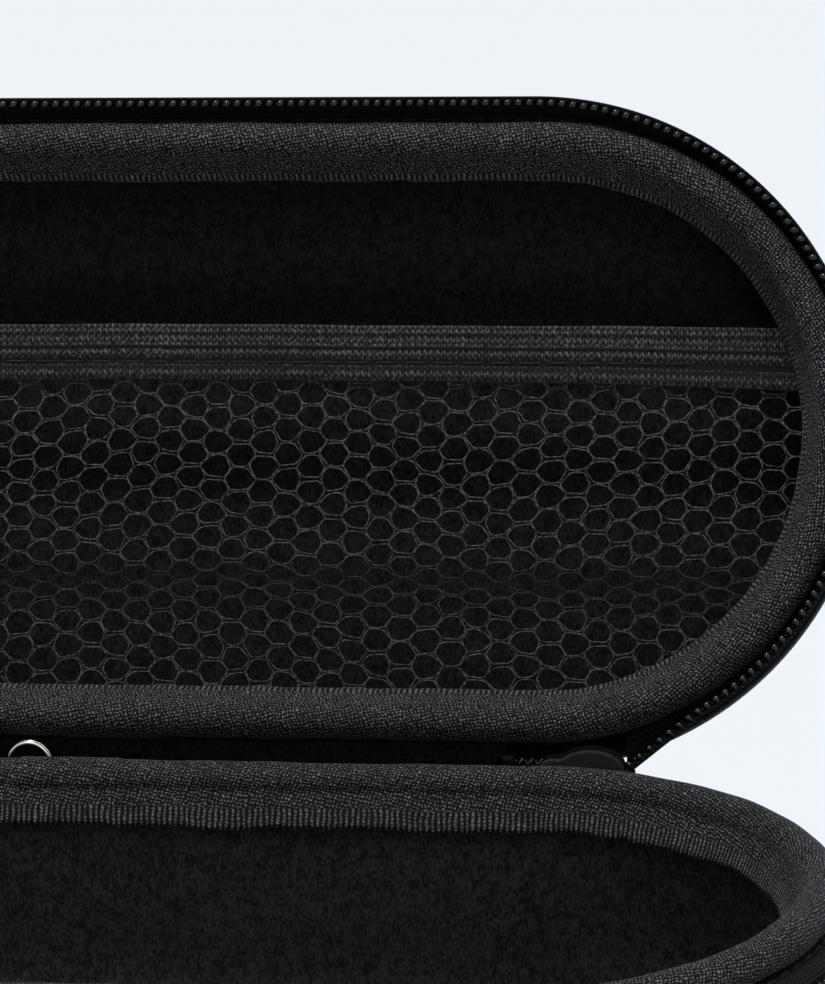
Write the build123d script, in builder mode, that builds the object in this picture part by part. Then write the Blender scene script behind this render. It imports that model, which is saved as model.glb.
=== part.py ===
from build123d import *
from math import asin, cos, degrees, radians, sin, sqrt
import os

# A soft-shell case for swimming goggles: two moulded halves with round ends, joined by a cloth
# hinge at the back and shut by a zip round the other three sides. It is modelled open.
# X runs along the case, Y to the back, Z up. The origin is the centre of the flat underside.
# Every size is in millimetres. Heights in a section are measured off the rim plane of its half.

# Plan of the rim: a straight run between two half circles, along the line of the zip
rim_radius = 38.0
end_spacing = 110.0

# Depth of each half, from its rim plane to its flat face
base_depth = 30.0
lid_depth = 15.0

# Wall of a half, from outside to inside, and its bowl shape
cover_thickness = 0.5
foam_thickness = 2.6
lining_thickness = 0.6
mouth_margin = 0.9
wall_bulge = 0.5
base_corner_radius = 7.5
lid_corner_radius = 8.0
seat_drop = 1.2
lip_thickness = 1.8
lip_reach = 1.4

# Bound seam: a cord wrapped in tape, which lies on the rim and runs nearer the zip at the ends
roll_inset = 4.15
roll_end_shift = 1.2
roll_radius = 2.2
roll_height = 1.25
cord_radius = 1.5
flange_reach = 3.6
flange_drop = 4.0
flange_thickness = 0.9

# Zip tapes, coils and their thread
tape_thickness = 0.5
tape_tuck = 0.4
tape_reach = 1.6
tape_edge = 0.4
coil_radius = 0.75
lid_coil_height = 3.2
lid_tape_stand = 0.7
thread_width = 0.4
thread_height = 0.2
base_thread_inset = 1.1
lid_thread_inset = 1.3
stop_length = 2.4
stop_size = 1.4

# Hinge line, how far the lid is open, and the gap between the rim planes when it is shut
hinge_inset = 1.2
hinge_lift = 4.7
open_angle = 110.5
shut_gap = 7.0

# Cloth of the hinge
gusset_half_length = 52.5
gusset_thickness = 0.5
gusset_foot = 1.3
gusset_crown_reach = 0.7
gusset_crown_height = 0.2
web_thickness = 0.5
web_clearance = 0.1
web_length = 2.8

# Slider, which stands on edge at the right end of the hinge, and the closed chain behind it
slider_offset = 9.1
slider_inset = 0.45
slider_length = 9.8
slider_width = 5.0
slider_shoulder_share = 0.8
slider_tail_width = 2.8
slider_waist_radius = 1.2
slider_plate = 0.5
slider_channel = 1.5
slider_clearance = 0.3
slider_travel = 2.5
post_radius = 0.7
post_inset = 2.2
chain_width = 2.6
chain_clearance = 0.1
end_box_length = 1.2
end_box_width = 3.2
end_box_thickness = 2.4

# Bail on the slider's back, and the pull that hangs from it
bail_reach = 1.1
bail_drop = 1.9
bail_span = 2.0
bail_leg = 0.5
bail_width = 0.8
bar_radius = 0.35
pull_clearance = 0.1
pull_eye_wall = 0.4
pull_neck = 1.1
pull_width = 4.6
pull_length = 16.0
pull_thickness = 0.9

# Split ring of two turns, held by a cloth loop
ring_x = -2.9
ring_inset = 1.1
ring_radius = 2.4
ring_wire_radius = 0.26
loop_inner_radius = 0.65
loop_thickness = 0.4
loop_width = 2.0

# Pocket in the lid: an elastic band, a net and a row of stitches
elastic_low = 6.8
elastic_width = 6.3
elastic_thickness = 0.9
net_thickness = 0.4
net_cell = 3.53
net_thread = 0.7
pocket_margin = 0.6
stitch_length = 2.4
stitch_pitch = 3.4
stitch_rise = 1.9
stitch_width = 0.35
stitch_height = 0.15

# Worked out from the sizes above
half_spacing = end_spacing / 2
wall_thickness = cover_thickness + foam_thickness + lining_thickness
mouth_radius = rim_radius + mouth_margin
roll_line = rim_radius - roll_inset
roll_half_spacing = half_spacing + roll_end_shift
tape_top = tape_thickness - seat_drop
tape_inner = roll_line + roll_radius - tape_tuck
lip_under = -seat_drop - lip_thickness
coil_line = rim_radius + tape_reach
hinge_back = rim_radius - hinge_inset
hinge_height = base_depth + hinge_lift
slider_x = gusset_half_length + slider_offset
slider_back = rim_radius - slider_inset
ring_back = rim_radius - ring_inset
gusset_crown_back = rim_radius + gusset_crown_reach
slider_height = base_depth + tape_top + slider_clearance + slider_width / 2
slider_rear = slider_back + slider_channel / 2 + slider_plate
chain_thickness = slider_channel - 2 * chain_clearance
mouth_x = slider_x + slider_length / 2 + slider_clearance
bar_back = slider_rear + bail_reach
bar_height = slider_height - bail_drop
elastic_high = elastic_low + elastic_width

# Rim planes: both have X along the case, Y towards the front edge and Z out of the hollow
shut_lid = Pos(0, 0, base_depth + shut_gap) * Rotation(180, 0, 0)
swing = Pos(0, hinge_back, hinge_height) * Rotation(-open_angle, 0, 0)
swing = swing * Pos(0, -hinge_back, -hinge_height)
base_rim = Plane((0, 0, base_depth), x_dir=(-1, 0, 0), z_dir=(0, 0, 1))
lid_rim = Plane(swing * shut_lid)


def lid_point(back, height):
    """Y and Z of a lid point, from its distance behind the middle and its height off the rim."""
    angle = radians(open_angle)
    y = back - hinge_back
    z = shut_gap - hinge_lift - height
    return (
        hinge_back + y * cos(angle) + z * sin(angle),
        hinge_height - y * sin(angle) + z * cos(angle),
    )


def end_turn(line):
    """Angle from the front round one end to where a line of this radius meets the zip's mouth."""
    return 180.0 - degrees(asin((mouth_x - half_spacing) / line))


def carry_round(rim, half_length, draw, arc=180.0, back_run=True):
    """Carry the section of draw() along the front, round both ends and, if asked, along the back."""
    for front in (1, -1) if back_run else (1,):
        middle = Plane(rim.origin, x_dir=rim.y_dir * front, z_dir=rim.x_dir * front)
        with BuildSketch(middle) as section:
            draw()
        extrude(section.sketch, amount=half_length, both=True)
    for side in (1, -1):
        centre = rim.from_local_coords((side * half_length, 0, 0))
        with BuildSketch(Plane(centre, x_dir=rim.y_dir, z_dir=rim.x_dir)) as section:
            draw()
        revolve(section.sketch, axis=Axis(centre, rim.z_dir * -side), revolution_arc=arc)


def bowl(depth, corner_radius, inset, mode=Mode.ADD):
    """Half section of a bowl: flat face, rounded corner and a wall that swells between its ends."""
    wall = mouth_radius - inset
    corner_height = corner_radius - depth
    corner_line = mouth_radius - corner_radius
    with BuildLine() as outline:
        ThreePointArc(
            (wall, -seat_drop),
            (wall + wall_bulge, (corner_height - seat_drop) / 2),
            (wall, corner_height),
        )
        CenterArc((corner_line, corner_height), corner_radius - inset, 0, -90)
        Polyline(
            (corner_line, inset - depth),
            (0, inset - depth),
            (0, -seat_drop),
            (wall, -seat_drop),
        )
    make_face(outline.edges(), mode=mode)


def box_section(inner, outer, low, high):
    """Plain rectangle in a section."""
    with Locations(((inner + outer) / 2, (low + high) / 2)):
        Rectangle(outer - inner, high - low)


def build_cover(rim, depth, corner_radius, name):
    """Printed cloth over the whole outside of a half."""

    def draw():
        bowl(depth, corner_radius, 0)
        bowl(depth, corner_radius, cover_thickness, mode=Mode.SUBTRACT)

    with BuildPart() as cover:
        carry_round(rim, half_spacing, draw)
    cover.part.label = name
    export_step(cover.part, f"parts/{name}.step")


def build_foam(rim, depth, corner_radius, name):
    """Moulded foam wall, with the lip that the bound seam lies on."""

    def draw():
        bowl(depth, corner_radius, cover_thickness)
        bowl(depth, corner_radius, cover_thickness + foam_thickness, mode=Mode.SUBTRACT)

    with BuildPart() as foam:
        carry_round(rim, half_spacing, draw)
        with BuildSketch(rim.offset(lip_under)):
            SlotCenterToCenter(end_spacing, 2 * (mouth_radius - cover_thickness - foam_thickness / 2))
            SlotCenterToCenter(2 * roll_half_spacing, 2 * (roll_line - lip_reach), mode=Mode.SUBTRACT)
        extrude(amount=lip_thickness)
    foam.part.label = name
    export_step(foam.part, f"parts/{name}.step")


def build_lining(rim, depth, corner_radius, name):
    """Pile cloth on the inside of the foam, up to the underside of the lip."""

    def draw():
        bowl(depth, corner_radius, wall_thickness - lining_thickness)
        bowl(depth, corner_radius, wall_thickness, mode=Mode.SUBTRACT)
        with Locations((mouth_radius, 0)):
            Rectangle(2 * mouth_radius, -2 * lip_under, mode=Mode.SUBTRACT)

    with BuildPart() as lining:
        carry_round(rim, half_spacing, draw)
    lining.part.label = name
    export_step(lining.part, f"parts/{name}.step")


def build_cord(rim, name):
    """Cord that fills the bound seam."""

    def draw():
        with Locations((roll_line, roll_height)):
            Circle(cord_radius)

    with BuildPart() as cord:
        carry_round(rim, roll_half_spacing, draw)
    cord.part.label = name
    export_step(cord.part, f"parts/{name}.step")


def build_binding(rim, name):
    """Ribbed tape wrapped round the cord, with its leg sewn down inside the mouth."""
    tip = (roll_line - flange_reach, roll_height - flange_drop)
    root = roll_radius * sqrt(0.5)

    def draw():
        with Locations((roll_line, roll_height)):
            Circle(roll_radius)
        with BuildLine() as leg:
            Polyline(
                tip,
                (tip[0] + flange_thickness, tip[1]),
                (roll_line - root, roll_height - root),
                (roll_line - roll_radius, roll_height),
                tip,
            )
        make_face(leg.edges())
        with Locations((roll_line, roll_height)):
            Circle(cord_radius, mode=Mode.SUBTRACT)

    with BuildPart() as binding:
        carry_round(rim, roll_half_spacing, draw)
    binding.part.label = name
    export_step(binding.part, f"parts/{name}.step")


def build_thread(rim, inset, name):
    """Line of thread that holds the zip tape down."""
    line = rim_radius - inset

    def draw():
        box_section(line - thread_width / 2, line + thread_width / 2, tape_top, tape_top + thread_height)

    with BuildPart() as thread:
        carry_round(rim, half_spacing, draw, back_run=False)
    thread.part.label = name
    export_step(thread.part, f"parts/{name}.step")


def build_stop(rim, side, line, height, name):
    """Clamp at the end of a coil, just past its last tooth."""
    turn = radians(end_turn(line))
    along = rim.x_dir * (side * cos(turn)) - rim.y_dir * sin(turn)
    centre = rim.from_local_coords((side * (half_spacing + line * sin(turn)), line * cos(turn), height))
    with BuildPart(Plane(centre + along * (stop_length / 2), x_dir=along, z_dir=rim.z_dir)) as stop:
        Box(stop_length, stop_size, stop_size)
    stop.part.label = name
    export_step(stop.part, f"parts/{name}.step")


os.makedirs("parts", exist_ok=True)

# Both halves
for half_name, half_rim, half_depth, half_corner in (
    ("base", base_rim, base_depth, base_corner_radius),
    ("lid", lid_rim, lid_depth, lid_corner_radius),
):
    build_cover(half_rim, half_depth, half_corner, f"{half_name}_cover")
    build_foam(half_rim, half_depth, half_corner, f"{half_name}_shell")
    build_lining(half_rim, half_depth, half_corner, f"{half_name}_lining")
    build_cord(half_rim, f"{half_name}_rim_cord")
    build_binding(half_rim, f"{half_name}_binding")
build_thread(base_rim, base_thread_inset, "base_stitching")
build_thread(lid_rim, lid_thread_inset, "lid_stitching")


def lay_tape(rim, outer):
    """Flat strip of zip tape on the seat, from the bound seam outwards, but not along the hinge."""
    with BuildSketch(rim.offset(-seat_drop)) as strip:
        SlotCenterToCenter(end_spacing, 2 * outer)
        SlotCenterToCenter(2 * roll_half_spacing, 2 * tape_inner, mode=Mode.SUBTRACT)
        Rectangle(end_spacing, 2 * outer, align=(Align.CENTER, Align.MAX), mode=Mode.SUBTRACT)
    extrude(strip.sketch, amount=tape_thickness)


# Zip tape of the base, which lies flat and hangs over the cover


def draw_base_tape_edge():
    box_section(mouth_radius, coil_line + tape_edge, -seat_drop, tape_top)


with BuildPart() as base_zip_tape:
    lay_tape(base_rim, mouth_radius)
    carry_round(
        base_rim,
        half_spacing,
        draw_base_tape_edge,
        arc=end_turn(coil_line),
        back_run=False,
    )
base_zip_tape.part.label = "base_zip_tape"
export_step(base_zip_tape.part, "parts/base_zip_tape.step")


# Zip tape of the lid, whose edge stands up from the rim


def draw_lid_tape_edge():
    with BuildLine() as strip:
        Polyline(
            (rim_radius - lid_tape_stand, -seat_drop),
            (rim_radius, -seat_drop),
            (rim_radius + tape_thickness / 2, lid_coil_height - coil_radius),
            (rim_radius - tape_thickness / 2, lid_coil_height - coil_radius),
            (rim_radius - lid_tape_stand, tape_top),
            close=True,
        )
    make_face(strip.edges())


with BuildPart() as lid_zip_tape:
    lay_tape(lid_rim, rim_radius - lid_tape_stand)
    carry_round(
        lid_rim,
        half_spacing,
        draw_lid_tape_edge,
        arc=end_turn(rim_radius),
        back_run=False,
    )
lid_zip_tape.part.label = "lid_zip_tape"
export_step(lid_zip_tape.part, "parts/lid_zip_tape.step")


# Coils of the zip, as plain cords of their outer size


def draw_base_coil():
    with Locations((coil_line, tape_top + coil_radius)):
        Circle(coil_radius)


def draw_lid_coil():
    with Locations((rim_radius, lid_coil_height)):
        Circle(coil_radius)


with BuildPart() as base_zip_coil:
    carry_round(base_rim, half_spacing, draw_base_coil, arc=end_turn(coil_line), back_run=False)
base_zip_coil.part.label = "base_zip_coil"
export_step(base_zip_coil.part, "parts/base_zip_coil.step")

with BuildPart() as lid_zip_coil:
    carry_round(lid_rim, half_spacing, draw_lid_coil, arc=end_turn(rim_radius), back_run=False)
lid_zip_coil.part.label = "lid_zip_coil"
export_step(lid_zip_coil.part, "parts/lid_zip_coil.step")

# Stops at the left ends of the coils; the base's rim plane counts X the other way
build_stop(base_rim, 1, coil_line, tape_top + coil_radius, "base_zip_stop")
build_stop(lid_rim, -1, rim_radius, lid_coil_height, "lid_zip_stop")

# Closed end of the chain, behind the slider; it stops short of the slider's post at full travel
post_x = slider_x + slider_length / 2 - post_inset
chain_start = gusset_half_length + end_box_length
chain_stop = post_x - post_radius - slider_travel - chain_clearance
end_box_x = gusset_half_length + end_box_length / 2
with BuildPart(Plane((end_box_x, slider_back, slider_height))) as zip_end_box:
    Box(end_box_length, end_box_thickness, end_box_width)
    fillet(zip_end_box.edges().filter_by(Axis.X), 0.4)
zip_end_box.part.label = "zip_end_box"
export_step(zip_end_box.part, "parts/zip_end_box.step")

with BuildPart(Plane(((chain_start + chain_stop) / 2, slider_back, slider_height))) as zip_chain_end:
    Box(chain_stop - chain_start, chain_thickness, chain_width)
    fillet(zip_chain_end.edges().filter_by(Axis.X), 0.35)
zip_chain_end.part.label = "zip_chain_end"
export_step(zip_chain_end.part, "parts/zip_chain_end.step")

# Slider: two upright plates with the chain's channel between them, and a post at the mouth.
# Each plate is an oval shoulder with a narrow tail, and a hollow where they meet.
shoulder_half = slider_shoulder_share * slider_length / 2
shoulder_x = slider_x + slider_length / 2 - shoulder_half
tail_length = slider_length - shoulder_half
tail_x = slider_x - slider_length / 2 + tail_length / 2
with BuildPart() as slider_body:
    for plate_rear in (slider_rear - slider_channel - slider_plate, slider_rear):
        with BuildSketch(Plane.XZ.offset(-plate_rear)) as plate:
            with Locations((tail_x, slider_height)):
                SlotOverall(tail_length, slider_tail_width)
            with Locations((shoulder_x, slider_height)):
                Ellipse(shoulder_half, slider_width / 2)
            fillet(plate.vertices().group_by(Axis.X)[1], slider_waist_radius)
        extrude(amount=slider_plate)
    fillet(slider_body.edges().group_by(Axis.Y)[0], slider_plate / 2)
    with BuildSketch(Plane.XZ.offset(slider_plate - slider_rear)):
        with Locations((post_x, slider_height)):
            Circle(post_radius)
    extrude(amount=slider_channel)
slider_body.part.label = "slider_body"
export_step(slider_body.part, "parts/slider_body.step")

# Bail on the slider's back: two legs with a round bar between them
bail_x = shoulder_x
leg_shift = (bail_span + bail_leg) / 2
with BuildPart() as slider_bail:
    with BuildSketch(Plane.XZ.offset(-slider_rear)):
        with Locations((bail_x - leg_shift, bar_height), (bail_x + leg_shift, bar_height)):
            Rectangle(bail_leg, bail_width)
    extrude(amount=-bail_reach - bar_radius)
    with BuildSketch(Plane.YZ.offset(bail_x)):
        with Locations((bar_back, bar_height)):
            Circle(bar_radius)
    extrude(amount=bail_span / 2 + bail_leg, both=True)
slider_bail.part.label = "slider_bail"
export_step(slider_bail.part, "parts/slider_bail.step")

# Pull: a barrel round the bar, and a flat tab that hangs down behind the base
eye_radius = bar_radius + pull_clearance
barrel_length = bail_span - 2 * pull_clearance
tab_straight = pull_length - pull_neck - pull_width / 2
with BuildPart() as zip_pull:
    with BuildSketch(Plane.XZ.offset(-bar_back)):
        with Locations((bail_x, bar_height)):
            Rectangle(barrel_length, 2 * pull_neck, align=(Align.CENTER, Align.MAX))
        with Locations((bail_x, bar_height - pull_neck)):
            Rectangle(pull_width, tab_straight, align=(Align.CENTER, Align.MAX))
        with Locations((bail_x, bar_height - pull_neck - tab_straight)):
            Circle(pull_width / 2)
    extrude(amount=pull_thickness / 2, both=True)
    with BuildSketch(Plane.YZ.offset(bail_x)):
        with Locations((bar_back, bar_height)):
            Circle(eye_radius + pull_eye_wall)
    extrude(amount=barrel_length / 2, both=True)
    with BuildSketch(Plane.YZ.offset(bail_x)):
        with Locations((bar_back, bar_height)):
            Circle(eye_radius)
    extrude(amount=barrel_length / 2, both=True, mode=Mode.SUBTRACT)
zip_pull.part.label = "zip_pull"
export_step(zip_pull.part, "parts/zip_pull.step")

# Cloth loop on the flat foot of the gusset, round the ring's lowest turn
gusset_top = base_depth + tape_top
ring_low = gusset_top + loop_thickness
with BuildPart() as ring_loop:
    with BuildSketch(Plane.YZ.offset(ring_x)):
        with Locations((ring_back, ring_low)):
            Circle(loop_inner_radius + loop_thickness)
            Circle(loop_inner_radius, mode=Mode.SUBTRACT)
        with Locations((ring_back, gusset_top)):
            Rectangle(
                4 * loop_inner_radius,
                4 * loop_inner_radius,
                align=(Align.CENTER, Align.MAX),
                mode=Mode.SUBTRACT,
            )
    extrude(amount=loop_width / 2, both=True)
ring_loop.part.label = "ring_loop"
export_step(ring_loop.part, "parts/ring_loop.step")

# Split ring: two turns of wire side by side, standing up on edge
with BuildPart() as split_ring:
    with BuildSketch(Plane.YZ.offset(ring_x)):
        with Locations(
            (ring_back - ring_wire_radius, ring_low),
            (ring_back + ring_wire_radius, ring_low),
        ):
            Circle(ring_wire_radius)
        with Locations((ring_back, ring_low)):
            Rectangle(ring_wire_radius, ring_wire_radius)
    revolve(axis=Axis((ring_x, ring_back, ring_low + ring_radius), (0, 1, 0)))
split_ring.part.label = "split_ring"
export_step(split_ring.part, "parts/split_ring.step")

# Gusset: pile cloth from the seat of the base, over a low crown, to the seat of the lid
gusset_seat = gusset_thickness / 2 - seat_drop
with BuildPart() as hinge_gusset:
    with BuildSketch(Plane.YZ):
        with BuildLine():
            Line(
                (tape_inner, base_depth + gusset_seat),
                (ring_back + gusset_foot, base_depth + gusset_seat),
            )
            ThreePointArc(
                (ring_back + gusset_foot, base_depth + gusset_seat),
                (gusset_crown_back, base_depth + gusset_crown_height),
                lid_point(mouth_radius, gusset_seat),
            )
            Line(
                lid_point(mouth_radius, gusset_seat),
                lid_point(tape_inner, gusset_seat),
            )
        trace(line_width=gusset_thickness)
    extrude(amount=gusset_half_length, both=True)
hinge_gusset.part.label = "hinge_gusset"
export_step(hinge_gusset.part, "parts/hinge_gusset.step")

# Outer web of the hinge: a strip from the back of the base's cover to the back of the lid's
web_line = mouth_radius + web_clearance + wall_bulge + web_thickness / 2
with BuildPart() as hinge_web:
    with BuildSketch(Plane.YZ):
        with BuildLine():
            Polyline(
                (web_line, base_depth - seat_drop - web_length),
                (web_line, base_depth - seat_drop),
                lid_point(web_line, -seat_drop - web_thickness),
                lid_point(web_line, -seat_drop - web_length),
            )
        trace(line_width=web_thickness)
    extrude(amount=gusset_half_length, both=True)
hinge_web.part.label = "hinge_web"
export_step(hinge_web.part, "parts/hinge_web.step")

# Elastic band across the lid, under the lip
pocket_radius = mouth_radius - wall_thickness - pocket_margin
with BuildPart() as pocket_elastic:
    with BuildSketch(lid_rim.offset(lip_under - elastic_thickness)):
        SlotCenterToCenter(end_spacing, 2 * pocket_radius)
        with Locations((0, (elastic_low + elastic_high) / 2)):
            Rectangle(end_spacing + 2 * rim_radius, elastic_width, mode=Mode.INTERSECT)
    extrude(amount=elastic_thickness)
pocket_elastic.part.label = "pocket_elastic"
export_step(pocket_elastic.part, "parts/pocket_elastic.step")

# Net below the band: one sheet with six-sided holes in staggered columns
column_pitch = 1.5 * net_cell
row_pitch = sqrt(3) * net_cell
hole_radius = net_cell - net_thread / sqrt(3)
net_holes = []
for column in range(-int(half_spacing * 2 / column_pitch), int(half_spacing * 2 / column_pitch) + 1):
    x = column * column_pitch
    reach = pocket_radius - net_cell - net_thread
    past_end = abs(x) - half_spacing
    if past_end > reach:
        continue
    depth = -reach if past_end < 0 else -sqrt(reach**2 - past_end**2)
    y = elastic_low - net_cell - (column % 2) * row_pitch / 2
    while y > depth:
        net_holes.append((x, y))
        y -= row_pitch
with BuildPart() as pocket_net:
    with BuildSketch(lid_rim.offset(lip_under - net_thickness)):
        SlotCenterToCenter(end_spacing, 2 * pocket_radius)
        with Locations((0, elastic_low)):
            Rectangle(
                end_spacing + 2 * rim_radius,
                2 * rim_radius,
                align=(Align.CENTER, Align.MAX),
                mode=Mode.INTERSECT,
            )
        with Locations(net_holes):
            RegularPolygon(hole_radius, 6, mode=Mode.SUBTRACT)
    extrude(amount=net_thickness)
pocket_net.part.label = "pocket_net"
export_step(pocket_net.part, "parts/pocket_net.step")

# Row of stitches along the band
stitch_count = 2 * int((half_spacing + 0.5 * rim_radius) / stitch_pitch) + 1
with BuildPart() as pocket_stitching:
    with BuildSketch(lid_rim.offset(lip_under)):
        with Locations((0, elastic_low + stitch_rise)):
            with GridLocations(stitch_pitch, 0, stitch_count, 1):
                Rectangle(stitch_length, stitch_width)
    extrude(amount=stitch_height)
pocket_stitching.part.label = "pocket_stitching"
export_step(pocket_stitching.part, "parts/pocket_stitching.step")
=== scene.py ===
import bmesh
import bpy
import numpy as np
from mathutils import Matrix


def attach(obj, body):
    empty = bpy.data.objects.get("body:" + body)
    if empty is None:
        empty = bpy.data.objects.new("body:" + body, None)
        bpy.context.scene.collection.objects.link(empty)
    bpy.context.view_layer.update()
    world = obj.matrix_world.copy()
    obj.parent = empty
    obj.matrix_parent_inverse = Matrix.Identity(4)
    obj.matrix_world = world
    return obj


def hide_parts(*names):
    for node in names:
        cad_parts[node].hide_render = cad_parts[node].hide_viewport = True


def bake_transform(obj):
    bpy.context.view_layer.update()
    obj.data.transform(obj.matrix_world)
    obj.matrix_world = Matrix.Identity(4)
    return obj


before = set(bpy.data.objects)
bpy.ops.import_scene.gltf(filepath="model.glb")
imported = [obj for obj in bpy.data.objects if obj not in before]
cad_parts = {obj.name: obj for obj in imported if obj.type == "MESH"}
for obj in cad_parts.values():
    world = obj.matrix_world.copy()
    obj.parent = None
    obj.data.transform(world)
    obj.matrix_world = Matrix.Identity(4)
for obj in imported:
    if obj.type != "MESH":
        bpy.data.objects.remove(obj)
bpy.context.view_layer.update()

# View, light and table.
# The camera stands in front of the case, to its right, and looks down on it by 15 degrees. Two
# large soft lamps and a dim surround light it. The table is a plain pale sheet, and the camera
# sees the surround pale too.
look_down, look_left, lean = np.radians((14.86, -7.51, -1.48))
camera_distance = 0.502
looks_at = np.array((0.04282, 0.03700, 0.06494))
image_height = 984
focal_pixels = 4433
ahead = np.array((
    np.sin(look_left) * np.cos(look_down),
    np.cos(look_left) * np.cos(look_down),
    -np.sin(look_down),
))
level = np.array((np.cos(look_left), -np.sin(look_left), 0.0))
upward = np.cross(level, ahead)
right_hand = np.cos(lean) * level + np.sin(lean) * upward
overhead = np.cos(lean) * upward - np.sin(lean) * level
stand = looks_at - camera_distance * ahead
pose = np.eye(4)
pose[:3] = np.column_stack((right_hand, overhead, -ahead, stand))
camera = bpy.data.objects.new("camera", bpy.data.cameras.new("camera"))
camera.matrix_world = Matrix(pose.tolist())
camera.data.sensor_fit = "VERTICAL"
camera.data.sensor_height = 36
camera.data.lens = 36 * focal_pixels / image_height
camera.data.clip_start = 0.01
bpy.context.collection.objects.link(camera)
bpy.context.scene.camera = camera
bpy.context.scene.view_settings.view_transform = "Standard"

lamps_aim = np.array((0.03, 0.02, 0.05))
for lamp_name, lamp_place, lamp_size, watts in (
    ("lamp_over", (-0.1, -0.12, 1.05), 0.3, 8.5),
    ("lamp_side", (0.5, -1.0, 0.5), 0.6, 1.5),
):
    lamp = bpy.data.objects.new(lamp_name, bpy.data.lights.new(lamp_name, "AREA"))
    lamp.data.size = lamp_size
    lamp.data.energy = watts
    towards = np.array(lamp_place) - lamps_aim
    towards /= np.linalg.norm(towards)
    across_lamp = np.cross((0.0, 0.0, 1.0), towards)
    across_lamp /= np.linalg.norm(across_lamp)
    pose = np.eye(4)
    pose[:3] = np.column_stack((across_lamp, np.cross(towards, across_lamp), towards, lamp_place))
    lamp.matrix_world = Matrix(pose.tolist())
    bpy.context.collection.objects.link(lamp)

pale = (0.8796, 0.9131, 0.9647, 1.0)


class Field:
    """A value that varies over a surface. Arithmetic on it adds Math nodes to its finish."""

    def __init__(self, finish, socket):
        self.finish = finish
        self.socket = socket

    def maths(self, operation, *values):
        numbered = dict(enumerate(values))
        return self.finish.add("ShaderNodeMath", {"operation": operation}, numbered)

    def __add__(self, other):
        return self.maths("ADD", self, other)

    def __sub__(self, other):
        return self.maths("SUBTRACT", self, other)

    def __rsub__(self, other):
        return self.maths("SUBTRACT", other, self)

    def __mul__(self, other):
        return self.maths("MULTIPLY", self, other)

    __radd__ = __add__
    __rmul__ = __mul__

    def wave(self):
        """Swings between 0 and 1, once for each whole number."""
        return 0.5 + 0.5 * self.maths("SINE", self * (2 * np.pi))

    def zigzag(self):
        """Rises from 0 to 1 and falls back, once for each whole number."""
        return self.maths("PINGPONG", self, 0.5) * 2

    def step(self, low, high):
        """Goes smoothly from 0 at low to 1 at high."""
        limits = {0: self, 1: low, 2: high}
        return self.finish.add("ShaderNodeMapRange", {"interpolation_type": "SMOOTHSTEP"}, limits)


class Finish:
    """A material with one Principled shader. Plain values stand on the shader's own sockets."""

    def __init__(self, name, colour, roughness, **plain):
        self.material = bpy.data.materials.new(name)
        self.material.use_nodes = True
        self.tree = self.material.node_tree
        self.shader = self.tree.nodes["Principled BSDF"]
        self.feed("Base Color", (*colour, 1.0))
        self.feed("Roughness", roughness)
        for socket, value in plain.items():
            self.feed(socket.replace("_", " "), value)

    def add(self, kind, settings, inputs, output=0):
        """Adds one node, with its settings first and then the values or links of its sockets."""
        node = self.tree.nodes.new(kind)
        for key, value in settings.items():
            if key == "stops":
                ramp = node.color_ramp.elements
                while len(ramp) < len(value):
                    ramp.new(1.0)
                for stop, (position, colour) in zip(ramp, value):
                    stop.position = position
                    stop.color = (*colour, 1.0)
            else:
                setattr(node, key, value)
        for key, value in inputs.items():
            self.join(value, node.inputs[key])
        return Field(self, node.outputs[output])

    def join(self, value, socket):
        if isinstance(value, Field):
            self.tree.links.new(value.socket, socket)
        else:
            socket.default_value = value

    def feed(self, socket, value):
        self.join(value, self.shader.inputs[socket])

    def place(self, stretch=(1.0, 1.0, 1.0)):
        """Position on the piece, in metres, drawn out along the axes with a small stretch."""
        here = self.add("ShaderNodeTexCoord", {}, {}, "Object")
        return self.add("ShaderNodeMapping", {}, {"Vector": here, "Scale": stretch})

    def cloth(self):
        """Length along and across the cloth, in millimetres, from the piece's own UV map."""
        lengths = self.add("ShaderNodeUVMap", {"uv_map": "Cloth"}, {})
        along = self.add("ShaderNodeSeparateXYZ", {}, {0: lengths}, "X")
        across = self.add("ShaderNodeSeparateXYZ", {}, {0: lengths}, "Y")
        return along * 1000, across * 1000

    def grain(self, where, size, detail=2.0):
        """Soft noise between 0 and 1 whose patches are of this size in metres."""
        inputs = {"Vector": where, "Scale": 1 / size, "Detail": detail}
        return self.add("ShaderNodeTexNoise", {}, inputs)

    def blend(self, amount, low, high):
        """Colour between two others."""
        inputs = {0: amount, 6: low, 7: high}
        return self.add("ShaderNodeMix", {"data_type": "RGBA"}, inputs, 2)

    def relief(self, height, depth):
        """Bumps of this depth in metres where the height is 1."""
        bump = self.add("ShaderNodeBump", {}, {"Height": height, "Distance": depth})
        self.feed("Normal", bump)


table = Finish("table", pale[:3], 0.9)
seen = table.add("ShaderNodeLightPath", {}, {}, "Is Camera Ray")
glow = table.add("ShaderNodeEmission", {}, {"Color": pale})
plain_shader = Field(table, table.shader.outputs[0])
mixed = table.add("ShaderNodeMixShader", {}, {0: seen * 0.95, 1: plain_shader, 2: glow})
table.join(mixed, table.tree.nodes["Material Output"].inputs["Surface"])
bpy.ops.mesh.primitive_plane_add(size=6)
floor = bpy.context.object
floor.name = "table"
floor.data.materials.append(table.material)

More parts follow.
